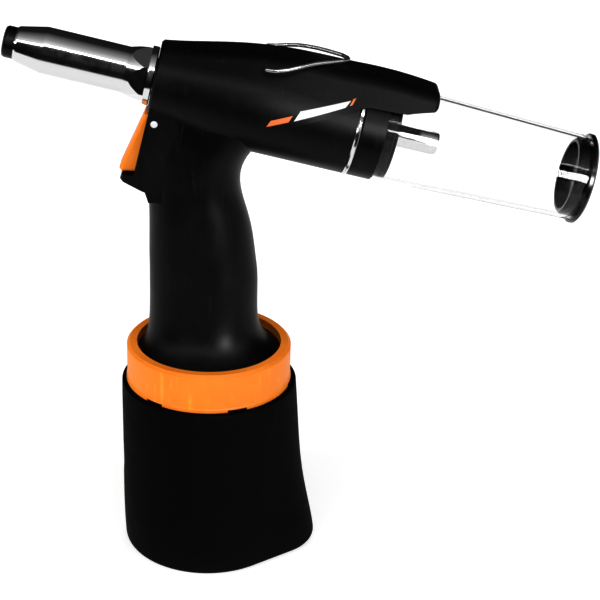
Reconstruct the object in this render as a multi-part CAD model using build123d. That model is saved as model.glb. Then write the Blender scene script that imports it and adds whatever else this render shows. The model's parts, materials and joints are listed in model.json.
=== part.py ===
"""Pneumatic-hydraulic blind rivet gun, standing on its rubber boot.

Millimetres, +Z up along the air cylinder's axis, origin on that axis at the boot's
sole.  The barrel lies in the XZ plane, its nose towards -X and tilted up; "station"
means a distance along the barrel axis, positive to the rear, counted from the point
where the barrel axis crosses the cylinder axis.  Barrel parts are made with that axis
along X and then set in place by in_barrel().
"""
from build123d import *
import math
import os

# ---------------------------------------------------------------- driving dimensions
AXIS_HEIGHT = 242.3         # barrel axis above the sole, on the cylinder axis
BARREL_TILT = 12.5          # degrees, nose up

BOOT_RADIUS = 43.6
BOOT_TOP = 92.4
BOOT_SOLE_THICKNESS = 5.0
BOOT_TOE_REACH = 56.0       # rear tip of the foot from the cylinder axis
CYLINDER_RADIUS = 38.5
CYLINDER_BORE = 36.0
CYLINDER_TOP = 104.0
RING_RADIUS = 41.0
RING_BOTTOM = 92.6
RING_TOP = 112.5
RING_NOTCHES = 6
RING_LIP_GAP = 0.8
BELL_RADIUS = 35.2          # grip's foot inside the ring
BELL_BOTTOM = 108.5
SHELL_WALL = 2.6

BARREL_FRONT = -27.0        # front face of the housing
BARREL_REAR = 68.2          # rear face of the housing's round part
HOOD_REAR = 104.0           # rear end of the hood over the collector
CORE_RADIUS = 23.7          # round part of the housing
HOOD_LIFT = 1.1             # the hood stands this far proud of the round part

SLEEVE_RADIUS = 11.0
SLEEVE_FLARE_RADIUS = 14.0
SLEEVE_FRONT = -92.5
SLEEVE_REAR = -27.2
SPIGOT_FRONT = -38.0         # the head's spigot inside the sleeve
SPIGOT_BORE_RADIUS = 9.0
SLEEVE_FLAT = 11.5          # axis to each of the six spanner flats on the flare
NOSEPIECE_FRONT = -98.0
NOSEPIECE_BORE = 1.65

HEAD_RADIUS = 20.0          # hydraulic head, inside the housing
HEAD_NOSE_RADIUS = 13.6     # its front end
PISTON_RADIUS = 14.5
PISTON_FRONT, PISTON_REAR = 3.0, 15.0
FRONT_ROD_RADIUS = 6.0
REAR_ROD_RADIUS = 4.2
MANDREL_WAY_RADIUS = 2.0    # bore right through the pulling parts
GLAND_FRONT = 52.0
GLAND_FLANGE = 62.0
GLAND_REAR = 70.6
PLUNGER_RADIUS = 7.0
TUBE_RADIUS = 9.5           # hydraulic tube, upright inside the grip
TUBE_TOP = 212.0
AIR_PISTON_BOTTOM = 13.0
AIR_PISTON_TOP = 25.0
CYLINDER_HEAD_RADIUS = 38.4

JAW_CONE_FRONT = -82.0
JAW_CONE_REAR = -66.0
JAW_CONE_RADIUS = 3.55      # at its front end
JAW_CONE_ANGLE = 10.0

ADAPTER_END = 88.3
BOTTLE_FRONT = 82.4
BOTTLE_REAR = 180.5
BOTTLE_FRONT_RADIUS = 23.3
BOTTLE_REAR_RADIUS = 20.6
BOTTLE_WALL = 1.7
CAP_FLANGE_RADIUS = 21.9
CAP_REAR = 183.6
OUTLET_TUBE_END = 110.0
OUTLET_TUBE_RADIUS = 5.6

TRIGGER_PIVOT = (-25.8, 229.1)      # X, Z
TRIGGER_HALF_WIDTH = 7.2
TRIGGER_CHEEK = 2.8         # thickness of its two side walls
TRIGGER_PIN_RADIUS = 1.7
VALVE_HEIGHT = 212.0

BAIL_PIVOT = (21.5, 21.6)           # station, height above the barrel axis
BAIL_WIRE_RADIUS = 0.95

INLET_X, INLET_Z = -4.0, 121.5      # air inlet, on the right side of the grip's foot

RUNNING_GAP = 0.05          # radial clearance of a running fit
SEAL_GAP = 0.02             # between a seal's lip and what slides in it
FREE_GAP = 0.3              # clearance between surfaces that never bear


# ---------------------------------------------------------------- shared makers
BASE = (Align.CENTER, Align.CENTER, Align.MIN)


def in_barrel(shape):
    """Sets a shape made along X at its place on the tilted barrel axis."""
    return Location((0, 0, AXIS_HEIGHT), (0, BARREL_TILT, 0)) * shape


def turned(profile, axis=Axis.X):
    """Solid of revolution of a closed (along, radius) profile; for Axis.Z pass (radius, height)."""
    face = Plane.XZ * make_face(Polyline(*profile, close=True))
    return revolve(face, axis=axis)


def rod(start, end, radius, bore=0.0):
    """Round bar along X from station start to end, with an optional through bore."""
    return turned([(start, bore), (end, bore), (end, radius), (start, radius)])


def column(bottom, top, radius, bore=0.0, x=0.0, y=0.0):
    """Round bar along Z, with an optional through bore."""
    bar = turned([(bore, bottom), (radius, bottom), (radius, top), (bore, top)], Axis.Z)
    return Pos(x, y, 0) * bar


def coil_spring(start, end, mean_radius, wire_radius, turns):
    """Helical spring along X with plain ends, its wire wholly between start and end."""
    length = end - start - 2 * wire_radius
    path = Helix(pitch=length / turns, height=length, radius=mean_radius)
    section = Plane(origin=path @ 0, z_dir=path % 0) * Circle(wire_radius)
    spring = sweep(section, path=path, is_frenet=True)
    return Pos(start + wire_radius, 0, 0) * Rot(0, 90, 0) * spring


def hull_of_two(x_front, x_rear, front_radius, rear_radius):
    """Egg-shaped face in XY: two circles on the X axis and their common tangents."""
    front, rear = x_front + front_radius, x_rear - rear_radius
    lean = math.acos((front_radius - rear_radius) / (rear - front))
    normal = (math.cos(lean), math.sin(lean))
    a = (front + front_radius * normal[0], front_radius * normal[1])
    b = (rear + rear_radius * normal[0], rear_radius * normal[1])
    mirrored = [(p[0], -p[1]) for p in (a, b)]
    edges = [
        ThreePointArc(mirrored[0], (x_front, 0), a),
        Line(a, b),
        ThreePointArc(b, (x_rear, 0), mirrored[1]),
        Line(mirrored[1], mirrored[0]),
    ]
    return make_face(edges)


def hood_section(station, radius, shoulder_y, shoulder_z, shoulder_radius):
    """Section across the barrel: a circle under two shoulder circles, all joined by tangents."""
    span = math.hypot(shoulder_y, shoulder_z)
    angle = math.atan2(shoulder_z, shoulder_y)
    angle -= math.acos((radius - shoulder_radius) / span)
    c, s = math.cos(angle), math.sin(angle)
    low = (radius * c, radius * s)
    high = (shoulder_y + shoulder_radius * c, shoulder_z + shoulder_radius * s)
    middle = math.radians(90 + math.degrees(angle)) / 2
    bend = (
        shoulder_y + shoulder_radius * math.cos(middle),
        shoulder_z + shoulder_radius * math.sin(middle),
    )
    top = (shoulder_y, shoulder_z + shoulder_radius)
    left = [(-p[0], p[1]) for p in (low, high, bend, top)]
    edges = [
        ThreePointArc(left[0], (0, -radius), low),
        Line(low, high),
        ThreePointArc(high, bend, top),
        Line(top, left[3]),
        ThreePointArc(left[3], left[2], left[1]),
        Line(left[1], left[0]),
    ]
    return Plane(origin=(station, 0, 0), x_dir=(0, 1, 0), z_dir=(1, 0, 0)) * make_face(edges)


# ---------------------------------------------------------------- housing outline
# station, main radius, shoulder centre (across, up), shoulder radius
HOOD_SECTIONS = [
    (BARREL_FRONT, 17.6, 4.0, 8.0, 8.9),
    (-9.0, 20.2, 5.0, 11.2, 9.0),
    (12.0, 23.6, 6.0, 15.4, 9.0),
    (32.0, CORE_RADIUS + HOOD_LIFT, 6.4, 17.8, 9.0),
    (BARREL_REAR, CORE_RADIUS + HOOD_LIFT, 6.5, 19.0, 9.0),
]
HOOD_TAIL_SECTIONS = [
    (BARREL_REAR, CORE_RADIUS + HOOD_LIFT, 6.5, 19.0, 9.0),
    (88.0, 24.4, 6.5, 19.0, 8.9),
    (HOOD_REAR, 22.6, 6.0, 18.2, 8.4),
]
# height, front, rear, front radius, rear radius
GRIP_SECTIONS = [
    (BELL_BOTTOM, -BELL_RADIUS, BELL_RADIUS, BELL_RADIUS - 0.6, BELL_RADIUS - 0.7),
    (111.5, -33.6, 31.9, 28.4, 29.6),
    (115.5, -31.5, 28.0, 23.6, 25.2),
    (121.0, -30.2, 25.3, 20.0, 21.9),
    (128.0, -29.6, 24.0, 18.1, 20.0),
    (138.0, -29.4, 23.7, 17.2, 19.4),
    (152.0, -29.4, 23.3, 16.9, 19.3),
    (168.0, -29.4, 21.2, 16.6, 19.0),
    (186.0, -29.4, 16.8, 16.0, 18.4),
    (201.0, -29.2, 14.4, 15.6, 18.2),
    (211.0, -28.2, 17.8, 15.6, 18.6),
    (219.0, -27.0, 24.0, 14.6, 19.0),
    (232.0, -25.6, 27.0, 12.6, 18.6),
]
HOOD_LINE_SLOPE = 0.522     # the hood's lower edge climbs to the rear on each flank
HOOD_LINE_END = 14.3        # its height above the axis at the housing's rear face
HOOD_TAIL_EDGE = 15.5       # lower edge of the hood's tail
HOUSING_SCREWS = [(-22.6, 134.0), (17.0, 134.0), (14.8, 160.0), (-22.6, 186.0)]     # X, Z
HOOD_SCREWS = [(42.0, 21.8), (62.0, 21.8)]      # station, height above the barrel axis
SCREW_RADIUS, SCREW_HEAD_RADIUS = 1.5, 2.8
SCREW_TIP, SCREW_SEAT, SCREW_HEAD_TOP = -9.0, 10.2, 12.6     # along Y


def shrunk_egg(section, wall):
    """The same grip section, one wall thickness inside."""
    height, front, rear, front_radius, rear_radius = section
    return (height, front + wall, rear - wall, front_radius - wall, rear_radius - wall)


def egg_loft(sections):
    return loft([Pos(0, 0, s[0]) * hull_of_two(*s[1:]) for s in sections])


def side_view_prism(points, half_width):
    """Prism across the tool from a closed outline of (X, Z) points."""
    return extrude(Plane.XZ * make_face(Polyline(*points, close=True)), amount=half_width, both=True)


def head_profile(gap, front, rear):
    """Outside of the hydraulic head, grown by a gap, from one station to another."""
    return [
        (front, 0),
        (front, HEAD_NOSE_RADIUS + gap),
        (-8.0, HEAD_NOSE_RADIUS + gap),
        (-6.0, 17.2 + gap),
        (14.0, HEAD_RADIUS + gap),
        (rear, HEAD_RADIUS + gap),
        (rear, 0),
    ]


def hood_region():
    """Everything above the hood's climbing lower edge, as a wide prism across the barrel."""
    front = BARREL_FRONT - 20
    outline = [
        (front, HOOD_LINE_END - HOOD_LINE_SLOPE * (BARREL_REAR - front)),
        (BARREL_REAR, HOOD_LINE_END),
        (BARREL_REAR + 4, HOOD_TAIL_EDGE),
        (HOOD_REAR + 10, HOOD_TAIL_EDGE + 1.5),
        (HOOD_REAR + 10, 60),
        (front, 60),
    ]
    return side_view_prism(outline, 60)


def barrel_outline():
    """Round barrel with the hood over it, along X."""
    core = turned(
        [
            (BARREL_FRONT, 0),
            (BARREL_FRONT, 16.6),
            (BARREL_FRONT + 1.0, 17.4),
            (-9.0, 20.0),
            (12.0, 23.2),
            (24.0, CORE_RADIUS),
            (BARREL_REAR, CORE_RADIUS),
            (BARREL_REAR, 0),
        ]
    )
    hood = loft([hood_section(*s) for s in HOOD_SECTIONS])
    hood = chamfer(hood.faces().sort_by(Axis.X)[0].edges(), 1.0)
    tail = loft([hood_section(*s) for s in HOOD_TAIL_SECTIONS])
    tail = fillet(tail.faces().sort_by(Axis.X)[-1].edges(), 2.4)
    tail -= rod(BARREL_REAR - 0.01, HOOD_REAR + 5, CORE_RADIUS + 0.9)
    return core + ((hood + tail) & hood_region())


def trigger_block():
    """The block that holds the trigger, with the finger rest under it."""
    outline = [
        (-14.0, 236.0),
        (-28.0, 236.0),
        (-36.0, 202.2),
        (-41.6, 202.0),
        (-42.4, 200.8),
        (-41.0, 199.4),
        (-36.4, 197.6),
        (-30.4, 195.2),
        (-28.8, 190.0),
        (-14.0, 190.0),
    ]
    plan = make_face(
        Polyline((-12, -13.4), (-32, -13.4), (-43, -10), (-43, 10), (-32, 13.4), (-12, 13.4), close=True)
    )
    plan = fillet(plan.vertices().filter_by(lambda v: v.X < -20), 4.5)
    return side_view_prism(outline, 15) & Pos(0, 0, 180) * extrude(plan, amount=60)


def trigger_slot():
    """Room for the trigger, down to the floor that its tip swings over."""
    outline = [
        (-18.0, 233.4),
        (-50.0, 233.4),
        (-50.0, 202.4),
        (-42.8, 202.4),
        (-40.8, 201.6),
        (-38.2, 200.4),
        (-36.0, 199.6),
        (-18.0, 199.6),
    ]
    return side_view_prism(outline, TRIGGER_HALF_WIDTH + FREE_GAP)


def across(x, z, y_from, y_to, radius):
    """Round bar along Y."""
    return Pos(x, y_from, z) * Rot(-90, 0, 0) * Cylinder(radius, y_to - y_from, align=BASE)


def screw_places():
    """The housing screws' places as (X, Z), those in the hood included."""
    tilt = math.radians(BARREL_TILT)
    hood = [
        (s * math.cos(tilt) + h * math.sin(tilt), AXIS_HEIGHT - s * math.sin(tilt) + h * math.cos(tilt))
        for s, h in HOOD_SCREWS
    ]
    return HOUSING_SCREWS + hood


def housing():
    """Both halves of the plastic housing as one hollow body, before it is split."""
    grip = egg_loft(GRIP_SECTIONS)
    inner_grip = egg_loft([shrunk_egg(s, SHELL_WALL) for s in GRIP_SECTIONS])
    body = in_barrel(barrel_outline()) + grip + trigger_block()
    body -= inner_grip
    body -= in_barrel(turned(head_profile(RUNNING_GAP, -22.2, BARREL_REAR + 1)))
    body -= in_barrel(rod(BARREL_FRONT - 1, -20, 9.9))
    body += across(INLET_X, INLET_Z, 15.0, 22.0, 9.4)
    for x, z in HOUSING_SCREWS:
        body += across(x, z, -14, 14, 2.6) & grip
    body -= trigger_slot()
    body -= across(*TRIGGER_PIVOT, -20, 20, TRIGGER_PIN_RADIUS)
    body -= in_barrel(across(*BAIL_PIVOT, -30, 30, BAIL_WIRE_RADIUS + 2 * RUNNING_GAP))
    body -= across(INLET_X, INLET_Z, 10, 30, 7.2)
    for x, z in screw_places():
        body -= across(x, z, SCREW_TIP, SCREW_SEAT, SCREW_RADIUS)
        body -= across(x, z, SCREW_SEAT, 30, SCREW_HEAD_RADIUS + 0.1)
    return body


# ---------------------------------------------------------------- parts
parts = {}

HALF_SPACE = Pos(0, 0, -10) * Box(400, 100, 400, align=(Align.CENTER, Align.MIN, Align.MIN))
whole_housing = housing()
parts["housing_right"] = whole_housing & HALF_SPACE
parts["housing_left"] = whole_housing - HALF_SPACE

screws = []
for x, z in screw_places():
    shank = across(x, z, SCREW_TIP, SCREW_SEAT, SCREW_RADIUS)
    head = across(x, z, SCREW_SEAT, SCREW_HEAD_TOP, SCREW_HEAD_RADIUS)
    screws.append(shank + head - Pos(x, SCREW_HEAD_TOP, z) * Box(4.4, 2.0, 0.8))
parts["housing_screws"] = Compound(children=screws)


# ---- trigger and its air valve
def trigger_blade():
    """The trigger: a curved blade whose two cheeks reach back into the housing's slot."""
    outline = Polyline(
        (-30.8, 231.8),
        (-42.9, 204.9),
        (-41.9, 203.3),
        (-33.6, 203.1),
        (-31.6, 212.0),
        (-29.0, 224.0),
        (-22.8, 225.6),
        (-22.8, 231.8),
        close=True,
    )
    face = make_face(outline)
    face = fillet(face.vertices().filter_by(lambda v: v.X > -24), 2.6)
    blade = extrude(Plane.XZ * face, amount=TRIGGER_HALF_WIDTH, both=True)
    front_edges = [
        e
        for e in blade.edges()
        if abs(abs(e.center().Y) - TRIGGER_HALF_WIDTH) < 0.01 and e.center().X < -36.5
    ]
    blade = fillet(front_edges, 1.6)
    channel = [(-36.2, 202.0), (-34.4, 210.0), (-31.2, 224.0), (-26.0, 224.6), (-26.0, 202.0)]
    blade -= side_view_prism(channel, TRIGGER_HALF_WIDTH - TRIGGER_CHEEK)
    return blade - across(*TRIGGER_PIVOT, -20, 20, TRIGGER_PIN_RADIUS + RUNNING_GAP)


parts["trigger"] = trigger_blade()
parts["trigger_pin"] = across(*TRIGGER_PIVOT, -13.2, 13.2, TRIGGER_PIN_RADIUS)

VALVE_FRONT, VALVE_REAR = -27.0, -14.0
VALVE_CHAMBER = -22.0
VALVE_RADIUS = 5.0
valve_body = turned(
    [
        (VALVE_FRONT, 1.55),
        (VALVE_CHAMBER, 1.55),
        (VALVE_CHAMBER, 3.4),
        (VALVE_REAR - 1.2, 3.4),
        (VALVE_REAR - 1.2, 0),
        (VALVE_REAR, 0),
        (VALVE_REAR, VALVE_RADIUS),
        (VALVE_FRONT, VALVE_RADIUS),
    ]
)
valve_pin = turned(
    [(-32.9, 0), (-32.9, 1.1), (-32.5, 1.5), (-21.8, 1.5), (-21.8, 3.3), (-20.4, 3.3), (-20.4, 0)]
)
valve_place = Pos(0, 0, VALVE_HEIGHT)
parts["valve_body"] = valve_place * valve_body
parts["valve_pin"] = valve_place * valve_pin
parts["valve_spring"] = valve_place * coil_spring(-20.3, VALVE_REAR - 1.3, 2.3, 0.35, 3.5)
PILOT_X = -17.0
PILOT_RADIUS, PILOT_BORE = 2.0, 1.2
pilot_tube = column(BELL_BOTTOM, VALVE_HEIGHT - 3, PILOT_RADIUS, PILOT_BORE, x=PILOT_X)
parts["pilot_tube"] = pilot_tube - valve_place * rod(VALVE_FRONT, VALVE_REAR, VALVE_RADIUS)


# ---- nose: nosepiece, sleeve, jaw case, jaws, pusher and spring
nosepiece = turned(
    [
        (NOSEPIECE_FRONT, NOSEPIECE_BORE),
        (-80.6, NOSEPIECE_BORE),
        (-80.6, 2.6),
        (-81.4, 3.0),
        (-86.0, 3.0),
        (-86.0, 5.0),
        (SLEEVE_FRONT, 5.0),
        (SLEEVE_FRONT, 7.4),
        (-96.6, 7.4),
        (-97.6, 6.9),
        (NOSEPIECE_FRONT, 5.8),
    ]
)
sleeve = turned(
    [
        (SLEEVE_FRONT, 5.0),
        (-86.0, 5.0),
        (-86.0, 8.2),
        (SPIGOT_FRONT, 8.2),
        (SPIGOT_FRONT, SPIGOT_BORE_RADIUS),
        (SLEEVE_REAR, SPIGOT_BORE_RADIUS),
        (SLEEVE_REAR, SLEEVE_FLARE_RADIUS - 0.5),
        (SLEEVE_REAR - 0.5, SLEEVE_FLARE_RADIUS),
        (-30.0, SLEEVE_FLARE_RADIUS),
        (-35.0, 12.5),
        (-40.5, SLEEVE_RADIUS),
        (-79.2, SLEEVE_RADIUS),
        (-91.6, 8.3),
        (SLEEVE_FRONT, 7.8),
    ]
)
hexagon = RegularPolygon(SLEEVE_FLAT, 6, major_radius=False)
flats = rod(-41, -30.4, 20) - Pos(-45, 0, 0) * Rot(0, 90, 0) * extrude(hexagon, amount=20)
parts["nosepiece"] = in_barrel(nosepiece)
parts["nose_sleeve"] = in_barrel(sleeve - flats)

cone_slope = math.tan(math.radians(JAW_CONE_ANGLE))


def cone_radius(station):
    return JAW_CONE_RADIUS + (station - JAW_CONE_FRONT) * cone_slope


ROD_FRONT = -58.0
jaw_case = turned(
    [
        (JAW_CONE_FRONT, JAW_CONE_RADIUS),
        (JAW_CONE_REAR, cone_radius(JAW_CONE_REAR)),
        (-60.0, cone_radius(JAW_CONE_REAR)),
        (-60.0, FRONT_ROD_RADIUS),
        (-52.0, FRONT_ROD_RADIUS),
        (-52.0, 7.8),
        (-80.0, 7.8),
        (JAW_CONE_FRONT, 6.0),
    ]
)
parts["jaw_case"] = in_barrel(jaw_case)

JAW_FRONT, JAW_REAR = -79.6, -69.0
JAW_CLEARANCE = 0.26
jaw_set = turned(
    [
        (JAW_FRONT, 2.6),
        (JAW_FRONT + 0.8, 1.9),
        (JAW_REAR, 1.9),
        (JAW_REAR, cone_radius(JAW_REAR) - JAW_CLEARANCE),
        (JAW_FRONT, cone_radius(JAW_FRONT) - JAW_CLEARANCE),
    ]
)
jaw_slot = Pos(-75, 0, 0) * Box(20, 0.7, 10, align=(Align.CENTER, Align.CENTER, Align.MIN))
for slot in range(3):
    jaw_set -= Rot(60 + 120 * slot, 0, 0) * jaw_slot
for number, jaw in enumerate(jaw_set.solids().sort_by(Axis.Z, reverse=True)):
    parts[f"jaw_{number + 1}"] = in_barrel(jaw)
parts["jaw_pusher"] = in_barrel(rod(-68.7, -66.0, 5.2, MANDREL_WAY_RADIUS))
parts["jaw_spring"] = in_barrel(coil_spring(-65.9, ROD_FRONT - 0.1, 4.4, 0.5, 4))


# ---- hydraulic head and its pulling piston
BORE_FRONT = -4.0
OIL_PORT_X = -3.5
head_bore = turned(
    [
        (SPIGOT_FRONT - 1, 0),
        (SPIGOT_FRONT - 1, FRONT_ROD_RADIUS + RUNNING_GAP),
        (-16.0, FRONT_ROD_RADIUS + RUNNING_GAP),
        (-16.0, 8.0),
        (-13.6, 8.0),
        (-13.6, FRONT_ROD_RADIUS + RUNNING_GAP),
        (BORE_FRONT, FRONT_ROD_RADIUS + RUNNING_GAP),
        (BORE_FRONT, PISTON_RADIUS + RUNNING_GAP),
        (GLAND_FLANGE + 1, PISTON_RADIUS + RUNNING_GAP),
        (GLAND_FLANGE + 1, 0),
    ]
)
head_body = turned(head_profile(0, -22.0, GLAND_FLANGE)) + rod(SPIGOT_FRONT, -21, SPIGOT_BORE_RADIUS)
head_body = in_barrel(head_body - head_bore)
boss = column(TUBE_TOP - 8, 230, 11.2)
boss += Pos(VALVE_REAR, 0, VALVE_HEIGHT) * Box(8, 10, 12, align=(Align.MIN, Align.CENTER, Align.CENTER))
boss -= in_barrel(rod(BORE_FRONT, GLAND_FLANGE, 16))
boss -= column(TUBE_TOP - 9, TUBE_TOP, TUBE_RADIUS)
head_body += boss
parts["head_body"] = head_body - column(TUBE_TOP - 1, 230, 2.0, x=OIL_PORT_X)
parts["front_rod_seal"] = in_barrel(rod(-15.9, -13.7, 7.95, FRONT_ROD_RADIUS + SEAL_GAP))

pull_piston = turned(
    [
        (ROD_FRONT, MANDREL_WAY_RADIUS),
        (75.0, MANDREL_WAY_RADIUS),
        (75.0, REAR_ROD_RADIUS),
        (PISTON_REAR, REAR_ROD_RADIUS),
        (PISTON_REAR, PISTON_RADIUS),
        (10.4, PISTON_RADIUS),
        (10.4, 12.6),
        (8.0, 12.6),
        (8.0, PISTON_RADIUS),
        (PISTON_FRONT, PISTON_RADIUS),
        (PISTON_FRONT, FRONT_ROD_RADIUS),
        (ROD_FRONT, FRONT_ROD_RADIUS),
    ]
)
parts["pull_piston"] = in_barrel(pull_piston)
parts["pull_piston_seal"] = in_barrel(rod(8.1, 10.3, PISTON_RADIUS + 0.02, 12.6))
parts["return_spring"] = in_barrel(coil_spring(PISTON_REAR + 0.1, GLAND_FRONT - 0.1, 10.0, 0.9, 7))
rear_gland = turned(
    [
        (GLAND_FRONT, REAR_ROD_RADIUS + RUNNING_GAP),
        (GLAND_REAR, REAR_ROD_RADIUS + RUNNING_GAP),
        (GLAND_REAR, HEAD_RADIUS),
        (GLAND_FLANGE, HEAD_RADIUS),
        (GLAND_FLANGE, PISTON_RADIUS + RUNNING_GAP),
        (GLAND_FRONT, PISTON_RADIUS + RUNNING_GAP),
    ]
)
parts["rear_gland"] = in_barrel(rear_gland)


# ---- collector at the rear end
RETAINER_FRONT, RETAINER_REAR = 68.4, 70.5
RETAINER_RADIUS = 24.3
RETAINER_BEVEL = 0.5
retaining_ring = rod(RETAINER_FRONT, RETAINER_REAR, RETAINER_RADIUS, HEAD_RADIUS + 0.02)
outer_edges = retaining_ring.edges().filter_by(GeomType.CIRCLE).sort_by(SortBy.RADIUS)[-2:]
parts["retaining_ring"] = in_barrel(chamfer(outer_edges, RETAINER_BEVEL))
SPIGOT_RADIUS = BOTTLE_FRONT_RADIUS - BOTTLE_WALL - RUNNING_GAP
collector_adapter = turned(
    [
        (GLAND_REAR, OUTLET_TUBE_RADIUS),
        (ADAPTER_END, OUTLET_TUBE_RADIUS),
        (ADAPTER_END, 7.6),
        (77.0, 7.6),
        (77.0, 18.6),
        (ADAPTER_END, 18.6),
        (ADAPTER_END, SPIGOT_RADIUS - 0.4),
        (ADAPTER_END - 0.4, SPIGOT_RADIUS),
        (86.6, SPIGOT_RADIUS),
        (86.6, 20.0),
        (84.6, 20.0),
        (84.6, SPIGOT_RADIUS),
        (BOTTLE_FRONT, SPIGOT_RADIUS),
        (BOTTLE_FRONT, CORE_RADIUS - 0.3),
        (BOTTLE_FRONT - 0.3, CORE_RADIUS),
        (GLAND_REAR + 0.6, CORE_RADIUS),
        (GLAND_REAR, CORE_RADIUS - 0.6),
    ]
)
parts["collector_adapter"] = in_barrel(collector_adapter)
parts["bottle_seal"] = in_barrel(rod(84.7, 86.5, SPIGOT_RADIUS + 0.02, 20.0))
outlet_tube = turned(
    [
        (GLAND_REAR, 4.6),
        (OUTLET_TUBE_END, 4.6),
        (OUTLET_TUBE_END, 4.9),
        (OUTLET_TUBE_END - 0.8, 5.4),
        (OUTLET_TUBE_END - 2.4, OUTLET_TUBE_RADIUS),
        (GLAND_REAR, OUTLET_TUBE_RADIUS),
    ]
)
parts["outlet_tube"] = in_barrel(outlet_tube)
BOTTLE_SOCKET_END = 90.0
collector_bottle = turned(
    [
        (BOTTLE_FRONT, BOTTLE_FRONT_RADIUS - BOTTLE_WALL),
        (BOTTLE_SOCKET_END, BOTTLE_FRONT_RADIUS - BOTTLE_WALL),
        (BOTTLE_REAR, BOTTLE_REAR_RADIUS - BOTTLE_WALL),
        (BOTTLE_REAR, BOTTLE_REAR_RADIUS),
        (BOTTLE_FRONT, BOTTLE_FRONT_RADIUS),
    ]
)
parts["collector_bottle"] = in_barrel(collector_bottle)
PLUG_RADIUS = BOTTLE_REAR_RADIUS - BOTTLE_WALL - RUNNING_GAP
bottle_cap = turned(
    [
        (CAP_REAR, 0),
        (178.6, 0),
        (178.6, PLUG_RADIUS - 2.4),
        (174.8, PLUG_RADIUS - 2.4),
        (174.8, PLUG_RADIUS - 1.2),
        (176.0, PLUG_RADIUS),
        (BOTTLE_REAR, PLUG_RADIUS),
        (BOTTLE_REAR, CAP_FLANGE_RADIUS - 0.5),
        (BOTTLE_REAR + 0.5, CAP_FLANGE_RADIUS),
        (CAP_REAR - 1.0, CAP_FLANGE_RADIUS),
        (CAP_REAR, CAP_FLANGE_RADIUS - 1.2),
    ]
)
parts["bottle_cap"] = in_barrel(bottle_cap)


# ---- air cylinder, piston, plunger and hydraulic tube
PLUNGER_SEAL_BOTTOM, PLUNGER_SEAL_TOP = 106.1, 108.3
PLUNGER_SEAL_RADIUS = 8.35
hydraulic_tube = column(CYLINDER_TOP, TUBE_TOP, TUBE_RADIUS, PLUNGER_RADIUS + RUNNING_GAP)
hydraulic_tube -= column(PLUNGER_SEAL_BOTTOM - 0.1, PLUNGER_SEAL_TOP + 0.1, PLUNGER_SEAL_RADIUS + 0.05)
parts["hydraulic_tube"] = hydraulic_tube
parts["plunger_seal"] = column(
    PLUNGER_SEAL_BOTTOM, PLUNGER_SEAL_TOP, PLUNGER_SEAL_RADIUS, PLUNGER_RADIUS + SEAL_GAP
)
parts["cylinder_head"] = column(CYLINDER_TOP, BELL_BOTTOM, CYLINDER_HEAD_RADIUS, TUBE_RADIUS)
nut = Pos(0, 0, BELL_BOTTOM) * extrude(RegularPolygon(14.0, 6), amount=6)
parts["tube_nut"] = nut - column(BELL_BOTTOM - 1, BELL_BOTTOM + 7, TUBE_RADIUS)
CYLINDER_FOOT = BOOT_SOLE_THICKNESS + 0.1
parts["air_cylinder"] = column(CYLINDER_FOOT, CYLINDER_TOP, CYLINDER_RADIUS) - column(
    CYLINDER_FOOT + 4, CYLINDER_TOP + 1, CYLINDER_BORE
)
air_piston = turned(
    [
        (0, AIR_PISTON_BOTTOM),
        (CYLINDER_BORE - 3, AIR_PISTON_BOTTOM),
        (CYLINDER_BORE - RUNNING_GAP, AIR_PISTON_BOTTOM + 1.5),
        (CYLINDER_BORE - RUNNING_GAP, 17.5),
        (33.0, 17.5),
        (33.0, 20.5),
        (CYLINDER_BORE - RUNNING_GAP, 20.5),
        (CYLINDER_BORE - RUNNING_GAP, AIR_PISTON_TOP),
        (0, AIR_PISTON_TOP),
    ],
    Axis.Z,
)
parts["air_piston"] = air_piston - column(AIR_PISTON_BOTTOM - 1, AIR_PISTON_TOP + 1, 4.0)
parts["air_piston_seal"] = column(17.6, 20.4, CYLINDER_BORE - 0.02, 33.0)
parts["plunger"] = column(AIR_PISTON_TOP, 117.0, PLUNGER_RADIUS) + column(
    AIR_PISTON_BOTTOM + 1, AIR_PISTON_TOP, 4.0
)
ring = turned(
    [
        (CYLINDER_RADIUS + RUNNING_GAP, RING_BOTTOM),
        (RING_RADIUS + 0.4, RING_BOTTOM),
        (RING_RADIUS + 0.4, RING_BOTTOM + 1.6),
        (RING_RADIUS, RING_BOTTOM + 2.2),
        (RING_RADIUS, RING_TOP - 1.4),
        (RING_RADIUS - 1.4, RING_TOP),
        (BELL_RADIUS + RING_LIP_GAP, RING_TOP),
        (BELL_RADIUS + RING_LIP_GAP, BELL_BOTTOM),
        (CYLINDER_RADIUS + RUNNING_GAP, BELL_BOTTOM),
    ],
    Axis.Z,
)
notch = Pos(RING_RADIUS, 0, RING_BOTTOM) * Box(3.0, 10.0, 2.4)
for number in range(RING_NOTCHES):
    ring -= Rot(0, 0, 52 + 60 * number) * notch
parts["lock_ring"] = ring

# height, radius of the round part, reach of the toe, radius of the toe
BOOT_SECTIONS = [
    (0.0, 42.6, BOOT_TOE_REACH, 25.0),
    (12.0, 43.3, 54.2, 26.0),
    (26.0, BOOT_RADIUS, 51.2, 29.0),
    (42.0, BOOT_RADIUS, 48.4, 33.0),
    (64.0, BOOT_RADIUS, 46.2, 37.0),
    (BOOT_TOP, BOOT_RADIUS, 44.0, 42.0),
]
boot = loft([Pos(0, 0, z) * hull_of_two(-r, reach, r, toe) for z, r, reach, toe in BOOT_SECTIONS])
boot = fillet(boot.faces().sort_by(Axis.Z)[0].edges(), 3.2)
boot = fillet(boot.faces().sort_by(Axis.Z)[-1].edges(), 1.2)
parts["base_boot"] = boot - column(BOOT_SOLE_THICKNESS, BOOT_TOP + 1, CYLINDER_RADIUS + RUNNING_GAP)


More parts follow.
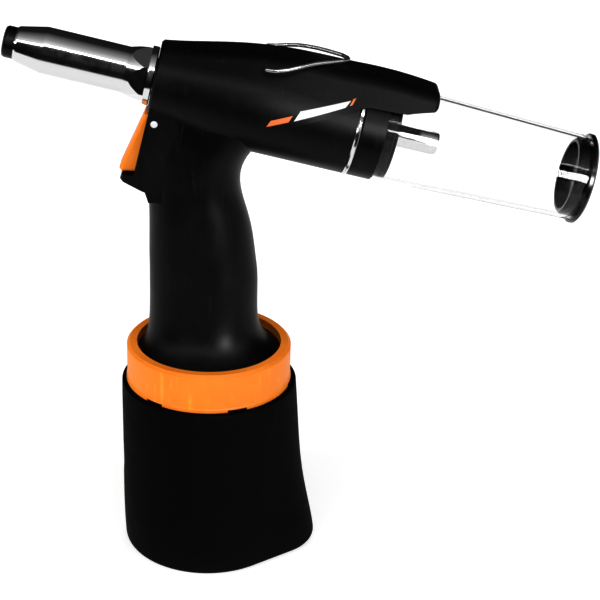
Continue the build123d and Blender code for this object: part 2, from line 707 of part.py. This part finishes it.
# ---- air inlet on the right side, turned about Y
def inlet_piece(profile):
    """Solid of revolution of (Y, radius) points about the inlet's axis."""
    return Pos(INLET_X, 0, INLET_Z) * Rot(0, 0, 90) * turned(profile)


INLET_FACE = 22.0
SWIVEL_FACE = 31.0
PLUG_END = 41.5
parts["inlet_socket"] = inlet_piece([(15.0, 4.05), (INLET_FACE, 4.05), (INLET_FACE, 7.2), (15.0, 7.2)])
swivel = inlet_piece(
    [(16.0, 2.6), (SWIVEL_FACE, 2.6), (SWIVEL_FACE, 7.0), (22.3, 7.0), (22.3, 4.0), (16.0, 4.0)]
)
wrench_flats = Pos(INLET_X, 27.5, INLET_Z) * (Box(20, 5, 20) - Box(12.6, 5, 20))
parts["inlet_swivel"] = swivel - wrench_flats
parts["inlet_plug"] = inlet_piece(
    [
        (SWIVEL_FACE, 2.6),
        (PLUG_END, 2.6),
        (PLUG_END, 5.2),
        (PLUG_END - 0.8, 5.95),
        (33.2, 5.95),
        (33.2, 6.8),
        (SWIVEL_FACE, 6.8),
    ]
)


# ---- hanging bail
def bail():
    """Wire loop: an ear in each side of the hood, legs that close to a narrow bend behind."""
    station, height = BAIL_PIVOT
    half = [
        (station, 11.6, height),
        (station, 20.2, height),
        (26.0, 20.9, 22.4),
        (31.0, 20.4, 24.1),
        (36.0, 18.2, 25.9),
        (40.0, 15.5, 27.1),
        (44.0, 12.8, 28.1),
        (48.0, 10.2, 28.8),
        (52.0, 7.5, 29.4),
        (55.8, 4.8, 29.9),
        (58.2, 1.8, 30.1),
        (58.6, 0.0, 30.1),
    ]
    route = [(s, -y, h) for s, y, h in half] + [p for p in reversed(half[:-1])]
    path = FilletPolyline(*route, radius=1.2)
    section = Plane(origin=path @ 0, z_dir=path % 0) * Circle(BAIL_WIRE_RADIUS)
    return in_barrel(sweep(section, path=path))


parts["hanging_bail"] = bail()


# ---------------------------------------------------------------- files
os.makedirs("parts", exist_ok=True)
for name, shape in parts.items():
    shape.label = name
    export_step(shape, f"parts/{name}.step")
print(len(parts), "parts written")
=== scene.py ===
import bpy
import json
import math
from mathutils import Matrix, Vector
from mathutils.bvhtree import BVHTree


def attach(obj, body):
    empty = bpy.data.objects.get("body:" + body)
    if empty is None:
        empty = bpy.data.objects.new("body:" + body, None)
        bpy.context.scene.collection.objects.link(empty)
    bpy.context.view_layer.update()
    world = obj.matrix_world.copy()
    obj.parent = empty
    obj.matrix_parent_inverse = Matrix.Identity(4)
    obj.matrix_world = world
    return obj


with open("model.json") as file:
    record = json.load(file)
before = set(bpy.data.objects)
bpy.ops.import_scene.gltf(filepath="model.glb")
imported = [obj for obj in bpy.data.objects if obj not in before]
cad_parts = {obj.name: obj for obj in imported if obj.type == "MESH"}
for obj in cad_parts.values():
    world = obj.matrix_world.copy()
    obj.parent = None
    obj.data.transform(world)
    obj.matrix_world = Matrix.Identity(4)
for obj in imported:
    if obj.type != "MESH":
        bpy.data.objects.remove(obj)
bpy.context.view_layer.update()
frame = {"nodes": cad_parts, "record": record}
nodes = frame["nodes"]

# Metres, in the part's own frame: +Z up, the nose towards -X, the left side towards -Y.
MM = 0.001
QUARTER_TURN = math.radians(90)
BARREL_TILT = math.radians(12.5)
BARREL_AXIS_HEIGHT = 242.3 * MM
BARREL_BACK = Vector((math.cos(BARREL_TILT), 0, -math.sin(BARREL_TILT)))
BARREL_UP = Vector((math.sin(BARREL_TILT), 0, math.cos(BARREL_TILT)))


def barrel_point(station, across, height):
    """A point from its station along the barrel, place across and height over the axis, in mm."""
    centre = Vector((0, 0, BARREL_AXIS_HEIGHT))
    return centre + (BARREL_BACK * station + Vector((0, across, 0)) + BARREL_UP * height) * MM


# ---------------------------------------------------------------- node helpers
# A Mix node has sockets for every data type. These are its colour sockets.
MIX_COLOUR_INPUTS = (6, 7)
MIX_COLOUR_OUTPUT = 2


def link(tree, source, target):
    tree.links.new(source, target)


def new_material(name):
    """(material, node tree, principled shader) with nothing else in it."""
    material = bpy.data.materials.new(name)
    material.use_nodes = True
    tree = material.node_tree
    return material, tree, tree.nodes["Principled BSDF"]


def object_coordinates(tree, stretch=(1, 1, 1), turn=(0, 0, 0)):
    """Object coordinates, turned and then stretched for a texture that runs one way."""
    source = tree.nodes.new("ShaderNodeTexCoord").outputs["Object"]
    mapping = tree.nodes.new("ShaderNodeMapping")
    mapping.vector_type = "POINT"
    mapping.inputs["Rotation"].default_value = turn
    mapping.inputs["Scale"].default_value = stretch
    link(tree, source, mapping.inputs["Vector"])
    return mapping.outputs["Vector"]


def noise(tree, vector, scale, detail=4.0, roughness=0.55, distortion=0.0):
    node = tree.nodes.new("ShaderNodeTexNoise")
    node.inputs["Scale"].default_value = scale
    node.inputs["Detail"].default_value = detail
    node.inputs["Roughness"].default_value = roughness
    node.inputs["Distortion"].default_value = distortion
    link(tree, vector, node.inputs["Vector"])
    return node.outputs["Fac"]


def cells(tree, vector, scale):
    """Distance to the nearest of many scattered points."""
    node = tree.nodes.new("ShaderNodeTexVoronoi")
    node.inputs["Scale"].default_value = scale
    link(tree, vector, node.inputs["Vector"])
    return node.outputs["Distance"]


def remap(tree, value, source, result=(0, 1)):
    """The value, moved from the source range into the result range and held there."""
    node = tree.nodes.new("ShaderNodeMapRange")
    for socket, number in zip(("From Min", "From Max", "To Min", "To Max"), (*source, *result)):
        node.inputs[socket].default_value = number
    link(tree, value, node.inputs["Value"])
    return node.outputs["Result"]


def calculate(tree, operation, a, b=0):
    """One operation on sockets or numbers. Sums and products are held between 0 and 1."""
    node = tree.nodes.new("ShaderNodeMath")
    node.operation = operation
    node.use_clamp = operation in ("ADD", "MULTIPLY")
    for socket, value in zip(node.inputs, (a, b)):
        if isinstance(value, (int, float)):
            socket.default_value = value
        else:
            link(tree, value, socket)
    return node.outputs["Value"]


def mix_colour(tree, factor, a, b):
    node = tree.nodes.new("ShaderNodeMix")
    node.data_type = "RGBA"
    link(tree, factor, node.inputs["Factor"])
    for index, value in zip(MIX_COLOUR_INPUTS, (a, b)):
        if isinstance(value, tuple):
            node.inputs[index].default_value = (*value, 1)
        else:
            link(tree, value, node.inputs[index])
    return node.outputs[MIX_COLOUR_OUTPUT]


def add_bump(tree, shader, height, strength, distance_mm):
    """Chains another bump under the shader's normal."""
    bump = tree.nodes.new("ShaderNodeBump")
    bump.inputs["Strength"].default_value = strength
    bump.inputs["Distance"].default_value = distance_mm * MM
    link(tree, height, bump.inputs["Height"])
    normal = shader.inputs["Normal"]
    if normal.links:
        link(tree, normal.links[0].from_socket, bump.inputs["Normal"])
    link(tree, bump.outputs["Normal"], normal)


def axis_value(tree, axis, vector):
    """One coordinate of a vector."""
    node = tree.nodes.new("ShaderNodeSeparateXYZ")
    link(tree, vector, node.inputs["Vector"])
    return node.outputs[axis]


# ---------------------------------------------------------------- materials
SEAM_EDGES = (0.10 * MM, 0.26 * MM)         # from the seam's bottom to its rim, off the mid plane
WEAR_GAIN, WEAR_LIFT = 1.7, 0.012           # how much lighter rubbed plastic is
# How to turn object coordinates so that their X runs along the axis a part was turned about.
TURNED_ALONG = {
    "barrel": (0, -BARREL_TILT, 0),
    "upright": (0, QUARTER_TURN, 0),
    "across": (0, 0, QUARTER_TURN),
}


def moulded_plastic(name, colour, lighter, roughness, grain_mm, grain_strength, specular=0.5, seam=False):
    """Moulded plastic: spark-eroded grain, slow colour and gloss drift, fine rub marks."""
    material, tree, shader = new_material(name)
    vector = object_coordinates(tree)
    rub_vector = object_coordinates(tree, stretch=(1, 1, 0.12), turn=(0, 0.35, 0))
    drift = noise(tree, vector, scale=38, detail=5)
    rub = noise(tree, rub_vector, scale=420, detail=6, roughness=0.7)
    rub_mask = remap(tree, rub, (0.56, 0.74), (0, 0.55))
    tint = mix_colour(tree, remap(tree, drift, (0.35, 0.7)), colour, lighter)
    worn = tuple(min(1.0, c * WEAR_GAIN + WEAR_LIFT) for c in lighter)
    link(tree, mix_colour(tree, rub_mask, tint, worn), shader.inputs["Base Color"])
    gloss_drift = remap(tree, drift, (0.3, 0.7), (roughness - 0.05, roughness + 0.07))
    gloss_rub = calculate(tree, "MULTIPLY", rub_mask, 0.12)
    link(tree, calculate(tree, "ADD", gloss_drift, gloss_rub), shader.inputs["Roughness"])
    shader.inputs["Specular IOR Level"].default_value = specular
    grain = cells(tree, vector, scale=1 / (grain_mm * MM))
    add_bump(tree, shader, grain, strength=grain_strength, distance_mm=0.06)
    add_bump(tree, shader, drift, strength=0.12, distance_mm=0.5)
    if seam:
        off_middle = calculate(tree, "ABSOLUTE", axis_value(tree, "Y", vector))
        add_bump(tree, shader, remap(tree, off_middle, SEAM_EDGES), strength=0.9, distance_mm=0.25)
    return material


def rubber(name, colour, dusty, roughness, dust_height_mm=0):
    """Matte rubber with a fine skin, scuffs, and dust that gathers near the floor."""
    material, tree, shader = new_material(name)
    vector = object_coordinates(tree)
    scuff_vector = object_coordinates(tree, stretch=(1, 1, 2.6))
    skin = noise(tree, vector, scale=1900, detail=3)
    scuff = noise(tree, scuff_vector, scale=90, detail=8, roughness=0.72, distortion=0.6)
    mask = remap(tree, scuff, (0.55, 0.8), (0, 0.5))
    if dust_height_mm:
        low = remap(tree, axis_value(tree, "Z", vector), (0, dust_height_mm * MM), (0.5, 0))
        mask = calculate(tree, "ADD", mask, calculate(tree, "MULTIPLY", low, scuff))
    link(tree, mix_colour(tree, mask, colour, dusty), shader.inputs["Base Color"])
    rough = remap(tree, scuff, (0.3, 0.8), (roughness - 0.08, roughness + 0.1))
    link(tree, rough, shader.inputs["Roughness"])
    shader.inputs["Specular IOR Level"].default_value = 0.05
    add_bump(tree, shader, skin, strength=0.35, distance_mm=0.08)
    add_bump(tree, shader, scuff, strength=0.2, distance_mm=0.3)
    return material


def turned_metal(name, colour, roughness, ring_mm=0.12, strength=0.25, stain=(0.3, 0.28, 0.25),
                 along="barrel", metallic=1.0):
    """Machined metal: fine turning rings along its axis, finger smears and small stains."""
    material, tree, shader = new_material(name)
    ring_vector = object_coordinates(tree, stretch=(1, 0.015, 0.015), turn=TURNED_ALONG[along])
    vector = object_coordinates(tree)
    rings = noise(tree, ring_vector, scale=1 / (ring_mm * MM), detail=3)
    smear = noise(tree, vector, scale=70, detail=6, roughness=0.65, distortion=0.8)
    spots = noise(tree, vector, scale=520, detail=5, roughness=0.7)
    smear_mask = remap(tree, smear, (0.42, 0.75))
    spot_mask = calculate(tree, "MULTIPLY", remap(tree, spots, (0.62, 0.78), (0, 0.5)), smear_mask)
    link(tree, mix_colour(tree, spot_mask, colour, stain), shader.inputs["Base Color"])
    shader.inputs["Metallic"].default_value = metallic
    smeared = remap(tree, smear, (0.3, 0.75), (roughness * 0.75, roughness * 1.45 + 0.02))
    grain = remap(tree, rings, (0.35, 0.65), (-roughness * 0.2, roughness * 0.25))
    link(tree, calculate(tree, "ADD", smeared, grain), shader.inputs["Roughness"])
    add_bump(tree, shader, rings, strength=strength, distance_mm=0.02)
    return material


def clear_plastic(name):
    """Clear polycarbonate with hairline scratches and a faint haze, with grey shade painted into its
    colour where it turns away.
    """
    material, tree, shader = new_material(name)
    along = object_coordinates(tree, stretch=(0.05, 1, 1), turn=TURNED_ALONG["barrel"])
    hairs = noise(tree, along, scale=900, detail=5, roughness=0.75)
    haze = noise(tree, object_coordinates(tree), scale=45, detail=5)
    scratches = calculate(tree, "MULTIPLY", remap(tree, hairs, (0.62, 0.72)), 0.10)
    haze_rough = remap(tree, haze, (0.35, 0.75), (0.01, 0.05))
    link(tree, calculate(tree, "ADD", haze_rough, scratches), shader.inputs["Roughness"])
    tint = mix_colour(tree, remap(tree, haze, (0.3, 0.8)), (1.0, 1.0, 1.0), (0.975, 0.985, 0.985))
    edge = tree.nodes.new("ShaderNodeLayerWeight")
    edge.inputs["Blend"].default_value = 0.5
    # Painted shade: the base colour greys toward the silhouette, standing in for the darker rim that the
    # thick, refracting wall shows.
    painted_edge_shade = remap(tree, edge.outputs["Facing"], (0.50, 0.95))
    link(tree, mix_colour(tree, painted_edge_shade, tint, (0.74, 0.75, 0.75)), shader.inputs["Base Color"])
    shader.inputs["Transmission Weight"].default_value = 1.0
    shader.inputs["IOR"].default_value = 1.05
    shader.inputs["Coat Weight"].default_value = 0.30
    shader.inputs["Coat Roughness"].default_value = 0.04
    add_bump(tree, shader, hairs, strength=0.05, distance_mm=0.02)
    return material


def printed_ink(name, colour):
    """Pad-printed ink, a little worn through."""
    material, tree, shader = new_material(name)
    vector = object_coordinates(tree)
    wear = noise(tree, vector, scale=900, detail=7, roughness=0.7)
    worn = mix_colour(tree, remap(tree, wear, (0.64, 0.74), (0, 0.8)), colour, BLACK_WORN)
    link(tree, worn, shader.inputs["Base Color"])
    link(tree, remap(tree, wear, (0.3, 0.7), (0.4, 0.6)), shader.inputs["Roughness"])
    add_bump(tree, shader, noise(tree, vector, scale=2600), strength=0.2, distance_mm=0.03)
    return material


BLACK = (0.0016, 0.0016, 0.0020)
BLACK_LIGHTER = (0.004, 0.004, 0.005)
BLACK_WORN = (0.010, 0.010, 0.012)
BRIGHT_METAL = (0.70, 0.70, 0.71)

# By the material slot that each one fills.
SLOT_MATERIALS = {
    "housing_plastic": moulded_plastic(
        "housing_plastic", BLACK, (0.0035, 0.0037, 0.0048), roughness=0.39, grain_mm=0.45,
        grain_strength=0.30, specular=0.15, seam=True),
    "orange_plastic": moulded_plastic(
        "orange_plastic", (0.93, 0.275, 0.026), (0.98, 0.31, 0.034), roughness=0.42, grain_mm=0.6,
        grain_strength=0.12, specular=0.24),
    "boot_rubber": rubber(
        "boot_rubber", (0.0018, 0.0018, 0.0020), (0.009, 0.009, 0.009), roughness=0.75,
        dust_height_mm=16),
    "polished_chrome": turned_metal(
        "polished_chrome", BRIGHT_METAL, roughness=0.11, ring_mm=0.10, strength=0.10),
    "black_steel": turned_metal(
        "black_steel", (0.022, 0.021, 0.021), roughness=0.34, ring_mm=0.16, strength=0.3,
        stain=(0.07, 0.05, 0.04)),
    "hardened_steel": turned_metal(
        "hardened_steel", (0.58, 0.57, 0.56), roughness=0.24, ring_mm=0.14, strength=0.3),
    "spring_steel": turned_metal(
        "spring_steel", (0.46, 0.46, 0.46), roughness=0.27, ring_mm=0.3),
    "machined_aluminium": turned_metal(
        "machined_aluminium", BRIGHT_METAL, roughness=0.32, ring_mm=0.16, strength=0.4),
    "brass": turned_metal(
        "brass", (0.72, 0.50, 0.20), roughness=0.26, ring_mm=0.14, strength=0.3,
        stain=(0.24, 0.14, 0.06)),
    "seal_rubber": rubber(
        "seal_rubber", (0.012, 0.012, 0.012), (0.04, 0.04, 0.04), roughness=0.6),
    "adapter_plastic": moulded_plastic(
        "adapter_plastic", BLACK, BLACK_LIGHTER, roughness=0.36, grain_mm=0.5, grain_strength=0.18,
        specular=0.14),
    "cap_plastic": moulded_plastic(
        "cap_plastic", BLACK, BLACK_LIGHTER, roughness=0.16, grain_mm=0.8, grain_strength=0.05,
        specular=0.3),
    "clear_plastic": clear_plastic("clear_plastic"),
    "pilot_nylon": moulded_plastic(
        "pilot_nylon", (0.02, 0.06, 0.24), (0.03, 0.09, 0.30), roughness=0.35, grain_mm=0.5,
        grain_strength=0.1),
}

# Parts turned about another axis than the barrel's, or plated, have a material of their own.
upright_steel = turned_metal("upright_steel", (0.60, 0.60, 0.60), roughness=0.22, ring_mm=0.14,
                             strength=0.3, along="upright")
across_steel = turned_metal("across_steel", (0.62, 0.62, 0.62), roughness=0.20, ring_mm=0.14,
                            strength=0.3, along="across")
plated_pin = turned_metal("plated_pin", (0.88, 0.88, 0.90), roughness=0.35, ring_mm=0.3,
                          strength=0.2, along="across", metallic=0.35)
OWN_MATERIALS = {
    "plunger": upright_steel,
    "tube_nut": upright_steel,
    "inlet_swivel": across_steel,
    "inlet_plug": across_steel,
    "trigger_pin": plated_pin,
}

for entry in frame["record"]["subparts"]:
    mesh = nodes[entry["node"]].data
    mesh.materials.clear()
    mesh.materials.append(OWN_MATERIALS.get(entry["node"], SLOT_MATERIALS[entry["material_slot"]]))


# ---------------------------------------------------------------- side stripe
STRIPE_ORIGIN = (27, -4.2)      # station and height, in mm, that the stripe's line passes through
STRIPE_SLOPE = 0.50             # climbs like the hood's lower edge
STRIPE_LEAN = 0.45              # its ends lean like italics
STRIPE_FILM_MM = 0.14           # how far the ink's face stands off the flank
STRIPE_FOOT_MM = 0.01           # and its back
STRIPE_COLUMNS, STRIPE_ROWS = 40, 8
OUTSIDE_MM = 60                 # across, clear of the left flank


def left_housing_tree():
    mesh = nodes["housing_left"].data
    points = [v.co.copy() for v in mesh.vertices]
    faces = [tuple(p.vertices) for p in mesh.polygons]
    return BVHTree.FromPolygons(points, faces)


housing_tree = left_housing_tree()


def side_point(station, height, lift):
    """Where a line across the tool at that place meets the left flank, lifted off it."""
    start = barrel_point(station, -OUTSIDE_MM, height)
    hit, normal, _, _ = housing_tree.ray_cast(start, Vector((0, 1, 0)))
    return hit + normal * lift * MM


def stripe_grid(start, end, low, high, taper, lift):
    """Points over one bar, column by column, at one lift off the flank."""
    grid = []
    for i in range(STRIPE_COLUMNS + 1):
        share = i / STRIPE_COLUMNS
        for j in range(STRIPE_ROWS + 1):
            rise = (high - low) * j / STRIPE_ROWS
            station = start + (end - start) * share + STRIPE_LEAN * rise
            line = STRIPE_ORIGIN[1] + STRIPE_SLOPE * (station - STRIPE_ORIGIN[0])
            grid.append(side_point(station, line + low + rise * (1 - taper * share), lift))
    return grid


def stripe_bar(name, start, end, low, high, material, taper=0.0):
    """A printed bar on the left flank from one station to another, between two heights over its line."""
    vertices = []
    for lift in (STRIPE_FILM_MM, STRIPE_FOOT_MM):
        vertices += stripe_grid(start, end, low, high, taper, lift)
    step = STRIPE_ROWS + 1
    size = (STRIPE_COLUMNS + 1) * step
    faces = []
    for i in range(STRIPE_COLUMNS):
        for j in range(STRIPE_ROWS):
            a = i * step + j
            quad = (a, a + step, a + step + 1, a + 1)
            faces.append(quad)
            faces.append(tuple(size + k for k in reversed(quad)))
    border = [i * step for i in range(STRIPE_COLUMNS + 1)]
    border += [STRIPE_COLUMNS * step + j for j in range(1, step)]
    border += [i * step + STRIPE_ROWS for i in range(STRIPE_COLUMNS - 1, -1, -1)]
    border += list(range(STRIPE_ROWS - 1, 0, -1))
    for a, b in zip(border, border[1:] + border[:1]):
        faces.append((b, a, size + a, size + b))
    mesh = bpy.data.meshes.new(name)
    mesh.from_pydata(vertices, [], faces)
    mesh.validate()
    for polygon in mesh.polygons:
        polygon.use_smooth = True
    mesh.materials.append(material)
    piece = bpy.data.objects.new(name, mesh)
    bpy.context.scene.collection.objects.link(piece)
    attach(piece, "housing")
    return piece


orange_ink = printed_ink("orange_ink", (0.80, 0.20, 0.035))
white_ink = printed_ink("white_ink", (0.86, 0.86, 0.86))
orange_bar = stripe_bar("stripe_orange", start=27.6, end=37.0, low=0.6, high=3.4, material=orange_ink)
white_bar = stripe_bar("stripe_white", start=39.2, end=61.0, low=0.4, high=4.6, material=white_ink,
                       taper=0.45)
end_bar = stripe_bar("stripe_end", start=62.6, end=63.8, low=0.6, high=3.2, material=orange_ink)


# ---------------------------------------------------------------- floor, light and camera
STAGE_REACH = 4.5               # the floor's half width
FLAG_EDGE = -0.37               # y of the flag's near edge
FLAG_HEIGHT = 0.5 * MM
MIDDLE = (0.04, 0, 0.14)        # what the lamps face

# The room's brightness against the angle over the horizon in front, in degrees.
SKY_PEAK = 26.0
SKY = [
    (0, 0.012), (40, 0.012),                        # dark up to the strip
    (41, SKY_PEAK), (42.5, SKY_PEAK),               # narrow bright strip
    (43.5, 1.15), (54, 0.85), (70, 0.45), (92, 0.20),
    (112, 0.03), (180, 0.02),                       # dark behind
]

# Lamps that polished surfaces don't mirror: name, place, (width, depth), watts, colour.
FILL_LAMPS = [
    ("key_left", (-1.55, -1.10, 1.05), (0.5, 0.5), 9, (1.0, 0.97, 0.92)),
    ("key_right", (1.60, -1.15, 1.00), (0.5, 0.5), 3, (1, 1, 1)),
    ("back_fill", (0.2, 1.6, 1.3), (0.9, 0.6), 9, (1, 1, 1)),
]


def stage_plane(name, low, high, height):
    """Flat rectangle at a height, from one (x, y) corner to the other, as part of the stage."""
    corners = [(low[0], low[1]), (high[0], low[1]), (high[0], high[1]), (low[0], high[1])]
    mesh = bpy.data.meshes.new(name)
    mesh.from_pydata([(x, y, height) for x, y in corners], [], [(0, 1, 2, 3)])
    plane = bpy.data.objects.new(name, mesh)
    bpy.context.scene.collection.objects.link(plane)
    return plane


def stage_floor():
    """Pale paper, lit from below as well as above."""
    floor = stage_plane("floor", (-STAGE_REACH, -STAGE_REACH), (STAGE_REACH, STAGE_REACH), 0)
    material, tree, shader = new_material("floor_paper")
    soft = noise(tree, object_coordinates(tree), scale=3)
    link(tree, mix_colour(tree, soft, (0.60, 0.60, 0.60), (0.64, 0.64, 0.64)), shader.inputs["Base Color"])
    shader.inputs["Roughness"].default_value = 0.9
    shader.inputs["Specular IOR Level"].default_value = 0.1
    shader.inputs["Emission Color"].default_value = (1, 1, 1, 1)
    shader.inputs["Emission Strength"].default_value = 0.62
    floor.data.materials.append(material)


def dark_flag():
    """Black card on the floor in front, which only polished surfaces see."""
    flag = stage_plane("dark_flag", (-STAGE_REACH, -STAGE_REACH), (STAGE_REACH, FLAG_EDGE), FLAG_HEIGHT)
    material, tree, shader = new_material("flag_cloth")
    weave = noise(tree, object_coordinates(tree), scale=900)
    cloth = mix_colour(tree, weave, (0.004, 0.004, 0.004), (0.008, 0.008, 0.008))
    link(tree, cloth, shader.inputs["Base Color"])
    shader.inputs["Roughness"].default_value = 1.0
    shader.inputs["Specular IOR Level"].default_value = 0.0
    flag.data.materials.append(material)
    flag.visible_camera = False
    flag.visible_diffuse = False
    flag.visible_shadow = False
    flag.visible_transmission = False


def studio_room():
    """A room that glows as SKY says, and shows pale walls to the camera and through the bottle."""
    world = bpy.data.worlds.new("room")
    bpy.context.scene.world = world
    world.use_nodes = True
    tree = world.node_tree
    direction = tree.nodes.new("ShaderNodeTexCoord").outputs["Generated"]
    toward_front = calculate(tree, "SUBTRACT", 0.0, axis_value(tree, "Y", direction))
    angle = calculate(tree, "ARCTAN2", axis_value(tree, "Z", direction), toward_front)
    ramp = tree.nodes.new("ShaderNodeValToRGB")
    elements = ramp.color_ramp.elements
    for degrees, _ in SKY[2:]:
        elements.new(degrees / 180)
    for element, (degrees, level) in zip(elements, SKY):
        element.position = degrees / 180
        element.color = (level / SKY_PEAK,) * 3 + (1,)
    link(tree, remap(tree, angle, (0, math.pi)), ramp.inputs["Fac"])
    glow = tree.nodes["Background"]
    link(tree, ramp.outputs["Color"], glow.inputs["Color"])
    glow.inputs["Strength"].default_value = SKY_PEAK
    walls = tree.nodes.new("ShaderNodeBackground")
    walls.inputs["Color"].default_value = (0.9, 0.9, 0.9, 1)
    path = tree.nodes.new("ShaderNodeLightPath").outputs
    unmirrored = calculate(tree, "LESS_THAN", path["Glossy Depth"], 0.5)
    through = calculate(tree, "MULTIPLY", path["Is Transmission Ray"], unmirrored)
    choice = tree.nodes.new("ShaderNodeMixShader")
    link(tree, calculate(tree, "ADD", path["Is Camera Ray"], through), choice.inputs["Fac"])
    link(tree, glow.outputs["Background"], choice.inputs[1])
    link(tree, walls.outputs["Background"], choice.inputs[2])
    link(tree, choice.outputs["Shader"], tree.nodes["World Output"].inputs["Surface"])


def soft_light(name, place, target, size, power, colour=(1, 1, 1)):
    """Rectangular lamp of (width, depth) in metres and watts, facing the target."""
    data = bpy.data.lights.new(name, "AREA")
    data.shape = "RECTANGLE"
    data.size, data.size_y = size
    data.energy = power
    data.color = colour
    lamp = bpy.data.objects.new(name, data)
    bpy.context.scene.collection.objects.link(lamp)
    lamp.location = place
    lamp.rotation_euler = (Vector(target) - Vector(place)).to_track_quat("-Z", "Y").to_euler()
    return lamp


stage_floor()
dark_flag()
studio_room()
for lamp_name, lamp_place, lamp_size, watts, lamp_colour in FILL_LAMPS:
    lamp = soft_light(lamp_name, lamp_place, MIDDLE, lamp_size, watts, lamp_colour)
    lamp.visible_glossy = False

# The camera looks down on the left side, a little rolled.
CAMERA_PLACE = Vector((0.02772, -0.73673, 0.47449))
CAMERA_TARGET = Vector((0.04488, 0.0, 0.13516))
CAMERA_ROLL = math.radians(1.88)
CAMERA_LENS = 98.14             # mm, on a sensor 36 mm wide
CAMERA_SENSOR = 36
camera_data = bpy.data.cameras.new("camera")
camera_data.lens = CAMERA_LENS
camera_data.sensor_width = CAMERA_SENSOR
camera = bpy.data.objects.new("camera", camera_data)
bpy.context.scene.collection.objects.link(camera)
look = (CAMERA_TARGET - CAMERA_PLACE).to_track_quat("-Z", "Y").to_matrix().to_4x4()
camera.matrix_world = Matrix.Translation(CAMERA_PLACE) @ look @ Matrix.Rotation(CAMERA_ROLL, 4, "Z")
bpy.context.scene.camera = camera
bpy.context.scene.view_settings.view_transform = "Standard"
bpy.context.scene.view_settings.gamma = 0.72        # deepens the blacks

# A small strip of light that the bottle mirrors over its cap.
CAP_SIDE = barrel_point(177, -19, 8)
CAP_STRIP_DISTANCE = 1.3
sight = (CAMERA_PLACE - CAP_SIDE).normalized()
mirrored = sight - 2 * sight.dot(BARREL_BACK) * BARREL_BACK
cap_strip = soft_light("cap_strip", CAP_SIDE + CAP_STRIP_DISTANCE * mirrored, CAP_SIDE, (0.30, 0.40), 26)
cap_strip.visible_diffuse = False
